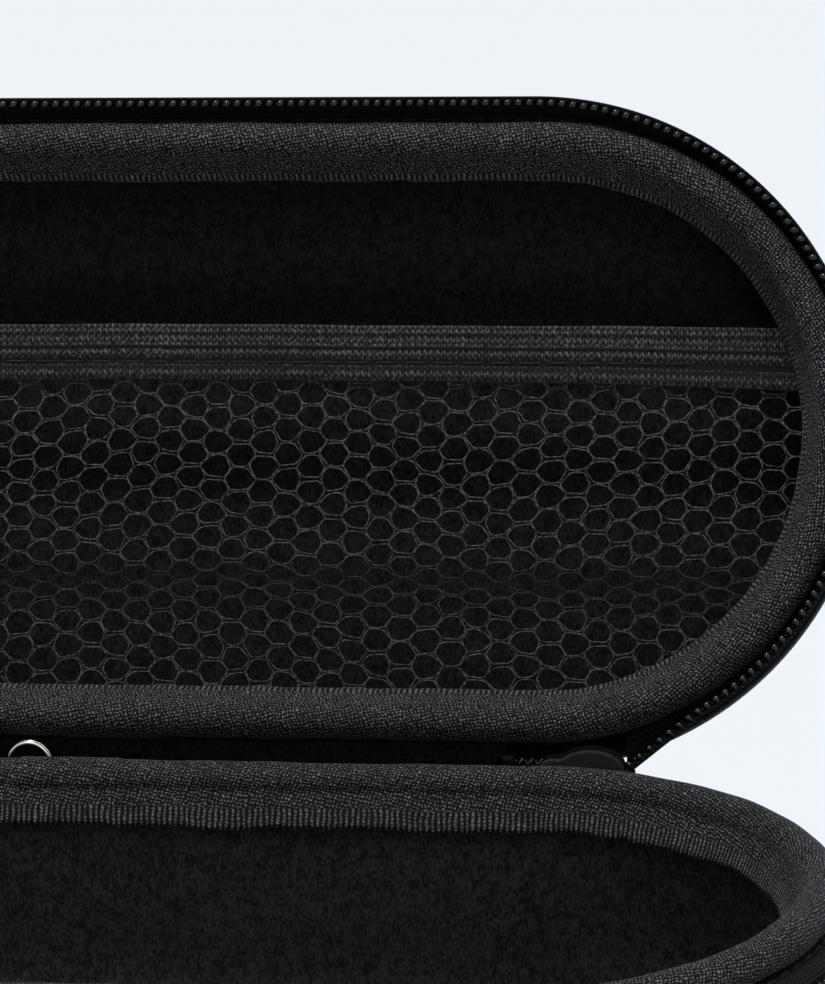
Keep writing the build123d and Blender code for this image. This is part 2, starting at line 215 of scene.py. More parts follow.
world = bpy.data.worlds.new("surround")
world.use_nodes = True
bpy.context.scene.world = world
links = world.node_tree.links
light_path = world.node_tree.nodes.new("ShaderNodeLightPath")
pale_rays = light_path.outputs["Is Camera Ray"]
for ray in ("Is Glossy Ray", "Is Transmission Ray"):
    either = world.node_tree.nodes.new("ShaderNodeMath")
    either.operation = "MAXIMUM"
    links.new(pale_rays, either.inputs[0])
    links.new(light_path.outputs[ray], either.inputs[1])
    pale_rays = either.outputs[0]
surround = world.node_tree.nodes.new("ShaderNodeMix")
surround.data_type = "RGBA"
surround.inputs[6].default_value = (0.185, 0.19, 0.2, 1.0)
surround.inputs[7].default_value = pale
links.new(pale_rays, surround.inputs[0])
links.new(surround.outputs[2], world.node_tree.nodes["Background"].inputs[0])


# Covers.
# Printed polyester cloth, bonded to the moulded foam of each half. It goes over the flat face, the
# rounded corner and the wall, up to the rim, and the lid's wall leans in. The print is a plain
# design of drifting blue bands.
rim_radius = 38.0
half_spacing = 55.0
base_depth = 30.0
lid_depth = 15.0
mouth_radius = 38.9
seat_drop = 1.2
wall_bulge = 0.5
cover_thickness = 0.5
wall_thickness = 3.7
front_sink = 1.4
lean_from = 26
lean_full = 36
lean_depth = 8
hinge_back = 36.8
hinge_height = 34.7
shut_gap = 7.0
open_angle = np.radians(110.5)


def place(half, across, front, height):
    """World place in metres of a point given in millimetres by its distance to the right, towards
    the front edge and out of the hollow. The base's rim sinks towards its front by a share that
    grows with the square of the distance. The lid's point is put where the shut lid has it and is
    then turned back about the hinge line by the angle that the lid stands open."""
    across, front, height = np.broadcast_arrays(across, front, height)
    if half == "base":
        sink = front_sink * (np.clip(front, 0, None) / rim_radius) ** 2
        back, up = -front, (base_depth + height) * (1 - sink / base_depth)
    else:
        y = -front - hinge_back
        z = base_depth + shut_gap - height - hinge_height
        back = hinge_back + y * np.cos(open_angle) + z * np.sin(open_angle)
        up = hinge_height - y * np.sin(open_angle) + z * np.cos(open_angle)
    return np.stack((across, back, up), -1) / 1000


def go_round(radius, half, length):
    """Middle and outward direction of a rim line of this radius, at lengths from the middle of the
    back to the right: a straight run, a half turn, the front, a half turn and the rest of the
    back."""
    bend = np.pi * radius
    length = np.mod(length, 4 * half + 2 * bend)
    right = np.clip(length - half, 0, bend)
    left = np.clip(length - 3 * half - bend, 0, bend)
    turn = (right + left) / radius
    middle = (
        np.clip(length, 0, half)
        - np.clip(length - half - bend, 0, 2 * half)
        + np.clip(length - 3 * half - 2 * bend, 0, half)
    )
    return middle, np.sin(turn), -np.cos(turn)


def carry(half_name, radius, half, lengths, out, height):
    """Points of a section carried round the rim: each lies out from the middle line, square to the
    rim, by its own distance, and at its own height."""
    middle, right, front = (part[:, None] for part in go_round(radius, half, lengths))
    return place(half_name, middle + right * out, front * out, height)


def build(name, points, *face_sets, uv=None):
    """Mesh piece from points in metres and arrays of faces. uv gives each corner its place on the
    cloth, in metres."""
    mesh = bpy.data.meshes.new(name)
    points = np.asarray(points, np.float32).reshape(-1, 3)
    corners = np.concatenate([faces.ravel() for faces in face_sets]).astype(np.int32)
    counts = np.concatenate([np.full(len(faces), faces.shape[1]) for faces in face_sets])
    starts = (np.cumsum(counts) - counts).astype(np.int32)
    mesh.vertices.add(len(points))
    mesh.vertices.foreach_set("co", points.ravel())
    mesh.loops.add(len(corners))
    mesh.loops.foreach_set("vertex_index", corners)
    mesh.polygons.add(len(starts))
    mesh.polygons.foreach_set("loop_start", starts)
    mesh.update(calc_edges=True)
    if uv is not None:
        layer = mesh.uv_layers.new(name="Cloth")
        layer.data.foreach_set("uv", np.asarray(uv, np.float32).ravel())
    mesh.validate()
    mesh.shade_smooth()
    piece = bpy.data.objects.new(name, mesh)
    bpy.context.collection.objects.link(piece)
    return piece


def net_of_faces(rows, columns, ring=False, tube=False):
    """Four-cornered faces of a grid, rows along a path and columns across it. ring joins the last
    row to the first, and tube the last column to the first."""
    here = np.arange(rows * columns).reshape(rows, columns)
    if ring:
        here = np.vstack((here, here[:1]))
    if tube:
        here = np.hstack((here, here[:, :1]))
    return np.stack((here[:-1, :-1], here[:-1, 1:], here[1:, 1:], here[1:, :-1]), -1).reshape(-1, 4)


def skin(name, grid, along, across, ring=False, tube=False, turned=False):
    """Surface over a grid of points, with a UV map that holds the lengths along and across it in
    millimetres over 1000. turned makes the faces look the other way."""
    rows, columns = grid.shape[:2]
    faces = net_of_faces(rows, columns, ring, tube)
    lengths = np.stack(np.meshgrid(along, across, indexing="ij"), -1) / 1000
    uv = np.stack((lengths[:-1, :-1], lengths[:-1, 1:], lengths[1:, 1:], lengths[1:, :-1]), 2)
    uv = uv.reshape(-1, 4, 2)
    if turned:
        faces = faces[:, ::-1]
        uv = uv[:, ::-1]
    return build(name, grid, faces, uv=uv)


def close_seams(piece):
    """Merges points that lie on each other, as at the middle line of a floor."""
    soft = bmesh.new()
    soft.from_mesh(piece.data)
    bmesh.ops.remove_doubles(soft, verts=soft.verts, dist=1e-6)
    soft.to_mesh(piece.data)
    soft.free()


def run_length(points):
    """Length along a chain of points, starting at 0."""
    steps = np.linalg.norm(np.diff(points, axis=0), axis=1)
    return np.concatenate(([0.0], np.cumsum(steps)))


def bowl_line(depth, corner, inset):
    """Section of a bowl from the middle of its floor to its rim: a flat run, a quarter circle, and
    a wall that swells as a parabola between its ends."""
    wall = mouth_radius - inset
    corner_line = mouth_radius - corner
    turn = np.linspace(-np.pi / 2, 0, 12)
    rise = np.linspace(0, 1, 16)[1:]
    floor_run = np.linspace(0, corner_line, 14)[:-1]
    floor_part = np.column_stack((floor_run, np.full(floor_run.shape, inset - depth)))
    corner_part = np.column_stack((
        corner_line + (corner - inset) * np.cos(turn),
        corner - depth + (corner - inset) * np.sin(turn),
    ))
    wall_part = np.column_stack((
        wall + wall_bulge * 4 * rise * (1 - rise),
        corner - depth + (depth - corner - seat_drop) * rise,
    ))
    return np.vstack((floor_part, corner_part, wall_part))


def off_floor(section):
    """Share that grows evenly from 0 at 12 mm from the middle line to 1 at 32 mm."""
    return np.clip((section[:, 0] - 12) / 20, 0, 1)


printed_cloth = Finish("printed_cloth", (0.01, 0.04, 0.12), 0.7, Specular_IOR_Level=0.15,
                       Sheen_Weight=0.05)
where = printed_cloth.place((1.0, 1.0, 1.5))
drift = printed_cloth.grain(where, 0.03, 3.0)
side_way = printed_cloth.add("ShaderNodeSeparateXYZ", {}, {0: where}, "X")
up_way = printed_cloth.add("ShaderNodeSeparateXYZ", {}, {0: where}, "Z")
bands = (side_way * 14 + up_way * 20 + drift * 3.2).wave()
brush = printed_cloth.grain(printed_cloth.place((1.0, 1.0, 6.0)), 0.006, 4.0)
tone = bands + (brush - 0.5) * 0.35
paint = printed_cloth.add("ShaderNodeValToRGB", {"stops": (
    (0.0, (0.004, 0.005, 0.009)),
    (0.32, (0.006, 0.012, 0.035)),
    (0.5, (0.008, 0.045, 0.17)),
    (0.68, (0.02, 0.16, 0.52)),
    (0.86, (0.07, 0.33, 0.76)),
    (1.0, (0.01, 0.06, 0.22)),
)}, {0: tone})
along, across = printed_cloth.cloth()
plain_edge = across.step(-3.0, 0.0)
edged = printed_cloth.blend(plain_edge, paint, (0.004, 0.004, 0.0045, 1))
printed_cloth.feed("Base Color", edged)
weave = printed_cloth.grain(printed_cloth.place(), 0.0003, 2.0)
printed_cloth.relief(weave, 0.00006)

rim_lengths = np.linspace(0, 4 * half_spacing + 2 * np.pi * rim_radius, 361)
for half_name, depth, corner, edge_width, lean_in, cut_size, cut_area in (
    ("base", base_depth, 7.5, 0.6, 0.0, (0.136, 0.246), 0.0262),
    ("lid", lid_depth, 8.0, 8.5, 0.15, (0.106, 0.216), 0.0188),
):
    outside = bowl_line(depth, corner, 0.0)
    inside = bowl_line(depth, corner, cover_thickness)[::-1]
    section = np.vstack((outside, (mouth_radius - 0.25, 0.15 - seat_drop), inside))
    wall_share = np.clip((section[:, 0] - lean_from) / (lean_full - lean_from), 0, 1)
    section[:, 0] += lean_in * wall_share * np.clip(section[:, 1] + seat_drop, -lean_depth, 0)
    soft = 0.12 * np.sin(rim_lengths[:-1, None] / 23.0 + section[:, 1] / 9.0)
    fade = off_floor(section) * np.clip(-section[:, 1] - seat_drop, 0, 3) / 3
    grid = carry(half_name, rim_radius, half_spacing, rim_lengths[:-1],
                 section[:, 0] + soft * fade, section[:, 1])
    from_edge = run_length(section) - run_length(outside)[-1] + edge_width
    piece = skin(f"{half_name}_cover_cloth", grid, rim_lengths, from_edge,
                 ring=True, turned=half_name == "lid")
    close_seams(piece)
    piece.data.materials.append(printed_cloth.material)
    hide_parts(f"{half_name}_cover", f"{half_name}_shell")
    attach(piece, half_name)


# Linings.
# Short black pile cloth on the inside of the foam. In the base it turns in under the bound seam,
# and in the lid it stops at the pocket. Its nap runs up and down in fine streaks.
# The same black pile is made in two copies: the base's is painted lighter, as lit in its open hollow,
# and the lid's is painted darker, as in the shade of its roll and top.
pile_lit_and_shaded = {}
for half_name, dull, bright in (("base", 0.023, 0.09), ("lid", 0.0042, 0.0175)):
    cloth = Finish(f"{half_name}_pile", (dull, dull, dull), 0.95, Specular_IOR_Level=0.03,
                   Sheen_Weight=0.05, Sheen_Roughness=0.5)
    nap = cloth.grain(cloth.place((1.0, 0.55, 0.55)), 0.0003, 3.0)
    tufts = cloth.grain(cloth.place(), 0.0013, 3.0)
    shade = (nap * 0.65 + tufts * 0.35).step(0.36, 0.66)
    low, high = ((tone, tone, tone * 1.08, 1) for tone in (dull, bright))
    cloth.feed("Base Color", cloth.blend(shade, low, high))
    cloth.relief(nap * 0.5 + tufts * 0.5, 0.0003)
    pile_lit_and_shaded[half_name] = cloth

for half_name, depth, corner, cut_size, cut_area in (
    ("base", base_depth, 7.5, (0.128, 0.238), 0.0215),
    ("lid", lid_depth, 8.0, (0.098, 0.208), 0.0145),
):
    inside = bowl_line(depth, corner, wall_thickness)
    inside = inside[inside[:, 1] < -4.7]
    top = mouth_radius - wall_thickness
    if half_name == "base":
        turn = np.linspace(0, np.pi / 2, 6)
        lip = np.column_stack((top - 1.2 + 1.2 * np.cos(turn), -4.75 + 1.2 * np.sin(turn)))
        lip = np.vstack((lip, (33.2, -3.5), (33.2, -3.3), (34.0, -3.3)))
    else:
        lip = np.array(((top, -3.5), (top + 0.2, -3.2)))
    behind = bowl_line(depth, corner, wall_thickness - 0.5)[::-1]
    behind = behind[behind[:, 1] < -3.4]
    section = np.vstack((inside, lip, behind))
    give = 0.1 * np.sin(rim_lengths[:-1, None] / 17.0) * np.sin(section[:, 1] / 5.0 + 1.0)
    fade = off_floor(section)
    grid = carry(half_name, rim_radius, half_spacing, rim_lengths[:-1],
                 section[:, 0] + give * fade, section[:, 1])
    piece = skin(f"{half_name}_lining_cloth", grid, rim_lengths, run_length(section),
                 ring=True, turned=half_name == "base")
    close_seams(piece)
    piece.data.materials.append(pile_lit_and_shaded[half_name].material)
    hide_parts(f"{half_name}_lining")
    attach(piece, half_name)


# Bound seams.
# Ribbed woven tape wrapped round a cord at the mouth of each half. Its inner leg is sewn down as a
# flat ribbed flange, and its ends lap by the hinge.
roll_line = 33.85
roll_half = 56.2
roll_radius = 2.2
roll_height = 1.25
flange_tip = np.array((29.85, -3.1))
ribs_start = 12.95

bound_tape = Finish("binding", (0.03, 0.031, 0.035), 0.7, Specular_IOR_Level=0.1,
                    Sheen_Weight=0.05, Sheen_Roughness=0.4)
along, across = bound_tape.cloth()
weave_and_highlight_noise = bound_tape.grain(bound_tape.place(), 0.0005, 2.0)
sway = bound_tape.grain(bound_tape.place(), 0.0012, 2.0) - 0.5
jitter = bound_tape.grain(bound_tape.place((1.0, 1.3, 0.8)), 0.0004, 1.0) - 0.5
patches = bound_tape.grain(bound_tape.place(), 0.0028, 2.0)
run = along + sway * 0.6 + jitter * 0.6
over = across + sway * 0.7 + (weave_and_highlight_noise - 0.5) * 0.6
knots = (run * (1 / 0.44) + over * 0.8).wave() * (over * (1 / 0.42) - run * 0.5).wave()
beads = knots.step(0.12, 0.75)
cross_threads = 0.35 + 0.4 * (over * (1 / 0.4)).wave()
ribs = ((along + sway * 0.5) * (1 / 0.66)).wave().step(0.15, 0.85) * cross_threads
on_ribs = across.step(ribs_start - 0.15, ribs_start + 0.2)
height = beads * (1 - on_ribs) + ribs * on_ribs
# The colour follows the weave's height: the raised knots and ribs are painted light as cool
# highlights, and the gaps between them are painted near black as shade. Random noise and patches vary
# how strong the painted highlights are.
bright = height * (1.5 * weave_and_highlight_noise) * (0.4 + 1.2 * patches)
painted_highlight_share = bright.step(0.03, 0.8)
colour = bound_tape.blend(painted_highlight_share, (0.0032, 0.0032, 0.004, 1), (0.17, 0.175, 0.19, 1))
bound_tape.feed("Base Color", colour)
bound_tape.relief(height, 0.0002)

roll_full = 4 * roll_half + 2 * np.pi * roll_line
roll_lengths = np.linspace(0, roll_full, 601)
roll_turn = np.radians(np.linspace(-75, 192, 30))
at = roll_lengths[:-1, None]
for half_name, lap_end, nick in (("base", 8.6, 68.7), ("lid", 12.9, 180.0)):
    wobble = 0.07 * np.sin(at / 3.1) + 0.07 * np.sin(at / 7.7) + 0.05 * np.sin(at / 1.3)
    from_lap = np.abs(np.mod(at - lap_end + 6 + roll_full / 2, roll_full) - roll_full / 2)
    lap = 0.16 * np.clip((6 - from_lap) / 0.5, 0, 1)
    reach = roll_radius + wobble * 0.6 + lap
    out_roll = roll_line + reach * np.cos(roll_turn)
    up_roll = roll_height + reach * np.sin(roll_turn)
    ease = np.linspace(0, 1, 9)[1:]
    start_out, start_up = out_roll[:, -1:], up_roll[:, -1:]
    ripple = 0.16 * np.sin(at / 4.3) + 0.12 * np.sin(at / 1.9) + 0.06 * np.sin(at / 0.8)
    ripple = ripple + 0.55 * np.exp(-(((at - nick) / 0.8) ** 2))
    out_leg = start_out + (flange_tip[0] - start_out) * ease + 0.3 * ripple * ease
    up_leg = start_up + (flange_tip[1] - start_up) * ease ** 1.15 + ripple * ease
    ease_back = 1 - np.linspace(1, 0, 7)
    out_under = out_leg[:, -1:] + 0.25 + (roll_line - 0.9 - flange_tip[0]) * ease_back
    back_up = roll_height - roll_radius * 0.9 - flange_tip[1]
    up_under = up_leg[:, -1:] - 0.12 + back_up * ease_back
    out = np.hstack((out_roll, out_leg, out_under))
    up = np.hstack((up_roll, up_leg, up_under))
    section = np.column_stack((out[0], up[0]))
    grid = carry(half_name, roll_line, roll_half, roll_lengths[:-1], out, up)
    across_tape = np.append(run_length(section), run_length(section)[-1] + 0.5)
    piece = skin(f"{half_name}_bound_tape", grid, roll_lengths, across_tape,
                 ring=True, tube=True, turned=half_name == "lid")
    piece.data.materials.append(bound_tape.material)
    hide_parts(f"{half_name}_binding", f"{half_name}_rim_cord")
    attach(piece, half_name)


# Zip tapes.
# Woven black tape. The base's lies on its seat and hangs over the cover's edge, and the lid's turns
# up behind its teeth. By the slider each leaves the rim and is drawn to the slider's mouth.
mouth_x = 66.8
leave_x = 75.4
slider_mouth = np.array((66.4, 37.55, 32.1))

zip_cloth = Finish("zip_tape", (0.008, 0.008, 0.009), 0.8, Specular_IOR_Level=0.06,
                   Sheen_Weight=0.03, Sheen_Roughness=0.4)
along, across = zip_cloth.cloth()
twill = (along * (1 / 0.6) + across * (1 / 0.55)).wave() * (across * (1 / 0.5)).wave()
colour = zip_cloth.blend(twill, (0.003, 0.003, 0.0036, 1), (0.02, 0.02, 0.022, 1))
zip_cloth.feed("Base Color", colour)
zip_cloth.relief(twill, 0.00015)


def rim_place(x):
    """Length along the rim line at which it passes x at the right of the back."""
    return half_spacing + rim_radius * np.arcsin((x - half_spacing) / rim_radius)


rim_full = 4 * half_spacing + 2 * np.pi * rim_radius
zip_span = np.linspace(rim_place(leave_x), rim_full - rim_place(mouth_x), 421)
lead_span = np.linspace(rim_place(leave_x), rim_place(mouth_x), 31)


def strap_section(line, thickness):
    """Closed section of a strip of cloth: its middle line set off to both sides by half its
    thickness, run round anticlockwise."""
    slope = np.gradient(line, axis=0)
    slope /= np.linalg.norm(slope, axis=1)[:, None]
    off = np.column_stack((slope[:, 1], -slope[:, 0])) * thickness / 2
    return np.vstack((line + off, (line - off)[::-1]))


def drawn_off(half_name, out, height, share):
    """How far, in metres, a share of the lead is drawn from the rim line to the slider's mouth: the
    whole distance at its end times the share to the power 1.6."""
    end = lead_span[-1:]
    at_mouth = carry(half_name, rim_radius, half_spacing, end, np.array([out]), height)[0, 0]
    return (slider_mouth / 1000 - at_mouth) * share[:, None] ** 1.6


tape_inner = 35.6
tape_thickness = 0.42
tape_lines = {
    "base": np.array((
        (tape_inner, -0.95), (36.8, -0.95), (38.0, -0.98), (38.9, -1.2), (39.35, -1.75), (39.5, -2.5),
    )),
    "lid": np.array((
        (tape_inner, -0.95), (36.4, -0.95), (37.2, -0.8), (37.9, -0.2), (38.3, 0.7), (38.45, 2.0),
        (38.52, 3.4),
    )),
}
coil_places = {"base": (39.95, -1.8), "lid": (37.95, 2.9)}
for half_name, line in tape_lines.items():
    section = strap_section(line, tape_thickness)
    across_tape = np.append(run_length(section), run_length(section)[-1] + 0.4)
    hold = np.clip((section[:, 0] - tape_inner) / (line[-1, 0] - tape_inner), 0, 1) ** 2
    for name, lengths in (("tape", zip_span), ("lead", lead_span)):
        grid = carry(half_name, rim_radius, half_spacing, lengths, section[:, 0], section[:, 1])
        if name == "lead":
            share = np.linspace(0, 1, len(lengths))
            drawn = drawn_off(half_name, *coil_places[half_name], share)
            grid = grid + hold[:, None] * drawn[:, None, :]
        flip = (half_name == "lid") != (name == "lead")
        piece = skin(f"{half_name}_zip_{name}", grid, lengths, across_tape, tube=True, turned=flip)
        piece.data.materials.append(zip_cloth.material)
        if name == "tape":
            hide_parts(f"{half_name}_zip_tape")
        if (half_name, name) == ("lid", "lead"):
            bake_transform(piece)
        else:
            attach(piece, half_name)


# Teeth of the zip.
# Each coil is one wound nylon thread, swollen where its heads meet the other side's. The base's
# heads look outwards, and the open lid's look towards the viewer.
tooth_pitch = 1.27
steps_per_turn = 10
thread_sides = 7

nylon = Finish("coil", (0.003, 0.003, 0.0035), 0.14, Specular_IOR_Level=0.3)
scuffs = nylon.grain(nylon.place(), 0.0008, 2.0)
nylon.feed("Roughness", 0.05 + 0.12 * scuffs)
nylon.relief(scuffs, 0.00003)


def wind_coil(name, centre, outwards, upwards, forwards):
    """Tube wound about a line: at turn t it lies below the line by cos t and beside it by sin t,
    and it is thickest at the heads. The line's points and its three directions are given for each
    step."""
    steps = len(centre)
    t = np.arange(steps) * (2 * np.pi / steps_per_turn)
    head = (0.5 - 0.5 * np.cos(t)) ** 2
    middle = centre + 0.2 * np.sin(t)[:, None] * outwards - 0.36 * np.cos(t)[:, None] * upwards
    path = np.gradient(middle, axis=0)
    path /= np.linalg.norm(path, axis=1)[:, None]
    side = np.cross(path, forwards + 0.3 * outwards)
    side /= np.linalg.norm(side, axis=1)[:, None]
    other = np.cross(path, side)
    thick = (0.22 + 0.28 * head)[:, None, None]
    ring = np.linspace(0, 2 * np.pi, thread_sides + 1)[:-1]
    around = np.cos(ring)[:, None] * side[:, None, :] + np.sin(ring)[:, None] * other[:, None, :]
    points = (middle[:, None, :] + thick * around) / 1000
    return build(name, points, net_of_faces(steps, thread_sides, tube=True))


def rim_directions(half_name, out, height, lengths):
    """Points in millimetres of a line at this distance out, and its outward, upward and forward
    directions, each one millimetre long."""
    line, farther, higher = (
        carry(half_name, rim_radius, half_spacing, lengths, np.array([o]), h)[:, 0] * 1000
        for o, h in ((out, height), (out + 1, height), (out, height + 1))
    )
    forwards = np.gradient(line, axis=0)
    forwards /= np.linalg.norm(forwards, axis=1)[:, None]
    return line, farther - line, higher - line, forwards


for half_name, (out, height) in coil_places.items():
    for name, span, slack in (("teeth", zip_span, 0.0), ("lead_teeth", lead_span, 1.8)):
        turns = int((abs(span[-1] - span[0]) + slack) / tooth_pitch)
        lengths = np.linspace(span[0], span[-1], steps_per_turn * turns + 1)
        centre, outwards, upwards, forwards = rim_directions(half_name, out, height, lengths)
        if name == "lead_teeth":
            share = np.linspace(0, 1, len(lengths))
            centre = centre + drawn_off(half_name, out, height, share) * 1000
        if half_name == "base":
            outwards, upwards = upwards, outwards
        piece = wind_coil(f"{half_name}_{name}", centre, outwards, upwards, forwards)
        piece.data.materials.append(nylon.material)
        if name == "teeth":
            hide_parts(f"{half_name}_zip_coil")
        if (half_name, name) == ("lid", "lead_teeth"):
            tuple(map(float, centre[-1] / 1000))
            tuple(map(float, centre[0] / 1000))
            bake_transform(piece)
        else:
            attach(piece, half_name)


# Stitching of the zip tapes.
# A row of lockstitches beside each bound seam, in black thread, sunk a little into the tape.
thread = Finish("thread", (0.012, 0.012, 0.014), 0.7, Specular_IOR_Level=0.08, Sheen_Weight=0.05)
strand = thread.grain(thread.place(), 0.0003, 2.0)
thread.feed("Base Color", thread.blend(strand, (0.005, 0.005, 0.006, 1), (0.035, 0.035, 0.04, 1)))
thread.relief(strand, 0.00005)


def stitches(name, centres, forwards, sideways, upwards, length, width, rise):
    """Row of stitches: each a short bead of thread whose width and height fall to its ends as the
    root of 1 - t squared. All numbers are in millimetres."""
    rings, sides = 7, 6
    t = np.linspace(-0.96, 0.96, rings)[:, None]
    ring = np.linspace(0, 2 * np.pi, sides + 1)[:-1]
    full = np.sqrt(1 - t ** 2)
    shape = np.stack((
        t * length / 2 + 0 * ring,
        full * np.cos(ring) * width / 2,
        full * np.sin(ring) * rise,
    ), -1).reshape(-1, 3)
    axes = np.stack((forwards, sideways, upwards), 1)
    points = centres[:, None, :] + shape @ axes
    faces = net_of_faces(rings, sides, tube=True)
    caps = np.array((np.arange(sides)[::-1], np.arange(sides) + sides * (rings - 1)))
    shift = (np.arange(len(centres)) * rings * sides)[:, None, None]
    faces, caps = (faces + shift).reshape(-1, 4), (caps + shift).reshape(-1, sides)
    return build(name, points / 1000, faces, caps)


stitch_pitch = 2.6
stitch_height = -0.72
for half_name, out in (("base", 36.9), ("lid", 36.75)):
    count = int((zip_span[-1] - zip_span[0]) / stitch_pitch)
    lengths = np.linspace(zip_span[0], zip_span[-1], count)
    centre, outwards, upwards, forwards = rim_directions(half_name, out, stitch_height, lengths)
    piece = stitches(f"{half_name}_tape_stitches", centre, forwards, outwards, upwards,
                     length=2.1, width=0.34, rise=0.2)
    piece.data.materials.append(thread.material)
    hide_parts(f"{half_name}_stitching")
    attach(piece, half_name)


# Hinge cloth.
# Inside, a strip of the same pile cloth runs from the seat of the base to the seat of the lid.
# Outside, a woven strip joins the two covers. Both are shaped to the lid as it stands open.
gusset_half = 52.5
strip_thickness = 0.45
strip_step = 1.5
web_back = 39.75


def lid_place(back, height):
    """Y and Z in millimetres of a lid point, from its distance behind the middle and its height."""
    point = place("lid", 0.0, -back, height) * 1000
    return point[1:]


def smooth_line(points, count):
    """Evenly spaced points on a curve through the given ones, each coordinate a cubic of the length
    along the chain between them."""
    points = np.array(points, float)
    length = run_length(points)
    slope = np.gradient(points, length, axis=0)
    at = np.linspace(0, length[-1], count)
    k = np.clip(np.searchsorted(length, at, side="right") - 1, 0, len(points) - 2)
    gap = (length[k + 1] - length[k])[:, None]
    t = ((at - length[k])[:, None]) / gap
    return (
        (2 * t**3 - 3 * t**2 + 1) * points[k]
        + (t**3 - 2 * t**2 + t) * gap * slope[k]
        + (3 * t**2 - 2 * t**3) * points[k + 1]
        + (t**3 - t**2) * gap * slope[k + 1]
    )


def cross_strip(name, line, thickness, half_length, step):
    """Strip of cloth that runs along X with this middle line in Y and Z, in millimetres."""
    section = strap_section(line, thickness)
    x = np.arange(-half_length, half_length + step / 2, step)
    sag = 0.08 * np.sin(x / 5.3) + 0.06 * np.sin(x / 2.1)
    grid = np.stack(np.broadcast_arrays(
        x[:, None], section[None, :, 0] + 0 * x[:, None], section[None, :, 1] + sag[:, None]
    ), -1)
    across_strip = np.append(run_length(section), run_length(section)[-1] + thickness)
    return skin(name, grid / 1000, x, across_strip, tube=True)


foot = (36.4, base_depth - 0.95)
gusset_line = smooth_line((
    foot, (38.0, base_depth - 0.9), (38.75, base_depth + 0.2), lid_place(38.9, -0.9),
    lid_place(37.3, -0.95), lid_place(36.2, -0.95),
), 40)
gusset = cross_strip("hinge_pile_cloth", gusset_line, strip_thickness, gusset_half, strip_step)
# The strip takes the lid's copy of the pile, painted darker as shade.
gusset.data.materials.append(pile_lit_and_shaded["lid"].material)
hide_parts("hinge_gusset")
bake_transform(gusset)

webbing = Finish("web", (0.012, 0.012, 0.014), 0.75, Specular_IOR_Level=0.08, Sheen_Weight=0.05)
along, across = webbing.cloth()
checks = (along * (1 / 0.8)).wave() * (across * (1 / 0.5)).wave()
colour = webbing.blend(checks, (0.005, 0.005, 0.006, 1), (0.03, 0.03, 0.034, 1))
webbing.feed("Base Color", colour)
webbing.relief(checks, 0.00015)
web_line = smooth_line((
    (web_back, base_depth - 4.0), (web_back, base_depth - 1.4), (39.6, base_depth + 0.1),
    lid_place(web_back, -2.2), lid_place(web_back, -4.0),
), 30)
web = cross_strip("hinge_outer_web", web_line, strip_thickness, gusset_half, strip_step)
web.data.materials.append(webbing.material)
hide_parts("hinge_web")
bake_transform(web)


# Slider, bail, pull and stops.
# Cast zinc with a matt dark grey paint, a little uneven in tone. The stops are black enamelled
# metal.
zinc = Finish("slider_paint", (0.02, 0.02, 0.021), 0.8, Specular_IOR_Level=0.06)
mottle = zinc.grain(zinc.place(), 0.0009, 3.0)
zinc.feed("Roughness", 0.7 + 0.2 * mottle)
zinc.feed("Base Color", zinc.blend(mottle, (0.018, 0.018, 0.019, 1), (0.03, 0.03, 0.032, 1)))
zinc.relief(mottle, 0.00003)
enamel = Finish("stop_enamel", (0.004, 0.004, 0.0045), 0.7, Specular_IOR_Level=0.05)
for node, finish in (
    ("slider_body", zinc), ("slider_bail", zinc), ("zip_pull", zinc), ("base_zip_stop", enamel),
    ("lid_zip_stop", enamel), ("zip_end_box", enamel),
):
    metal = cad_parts[node]
    metal.data.materials.clear()
    metal.data.materials.append(finish.material)


# Closed chain behind the slider.
# The two coils meshed together, from the end box into the slider's channel, as the slider leaves
# them.
chain_start = 53.9
chain_stop = 60.8
chain_back = 37.55
chain_height = base_depth + 2.1
chain_count = 61

chain_centre = np.tile((0.0, chain_back, chain_height), (chain_count, 1))
chain_centre[:, 0] = np.linspace(chain_start, chain_stop, chain_count)
forwards = np.tile((1.0, 0.0, 0.0), (chain_count, 1))
outwards = np.tile((0.0, 1.0, 0.0), (chain_count, 1))
for name, side in (("closed_chain_low", -1.0), ("closed_chain_high", 1.0)):
    upwards = np.tile((0.0, 0.0, side), (chain_count, 1))
    shift = np.array((0.3 * side, 0.0, -0.75 * side))
    piece = wind_coil(name, chain_centre + shift, outwards, upwards, forwards)
    piece.data.materials.append(nylon.material)
    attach(piece, "base")
    if name == "closed_chain_low":
        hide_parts("zip_chain_end")


# Split ring and its loop.
# Nickel-plated wire in two turns, held at the middle of the hinge by a folded scrap of webbing.
ring_x = -2.9
ring_back = 36.9
ring_low = base_depth - 0.3
ring_radius = 2.4
ring_steps = 97
wire_radius = 0.25
wire_sides = 10
loop_radius = 0.85
loop_thickness = 0.35
loop_half_width = 1.0

nickel = Finish("ring_nickel", (0.66, 0.62, 0.54), 0.2, Metallic=1.0)
tarnish = nickel.grain(nickel.place(), 0.0009, 3.0)
nickel.feed("Roughness", 0.14 + 0.2 * tarnish)
nickel.feed("Base Color", nickel.blend(tarnish, (0.6, 0.55, 0.46, 1), (0.74, 0.71, 0.64, 1)))
turn = np.linspace(0, 4 * np.pi, ring_steps) - np.pi / 2
middle = np.stack((
    ring_x + ring_radius * np.cos(turn),
    ring_back + 0.27 * np.tanh((turn - turn.mean()) * 1.5),
    ring_low + ring_radius + ring_radius * np.sin(turn),
), -1)
radial = np.stack((np.cos(turn), 0 * turn, np.sin(turn)), -1)
around = np.linspace(0, 2 * np.pi, wire_sides + 1)[:-1]
wire = middle[:, None, :] + wire_radius * (
    np.cos(around)[:, None] * radial[:, None, :]
    + np.sin(around)[:, None] * np.array((0.0, 1.0, 0.0))
)
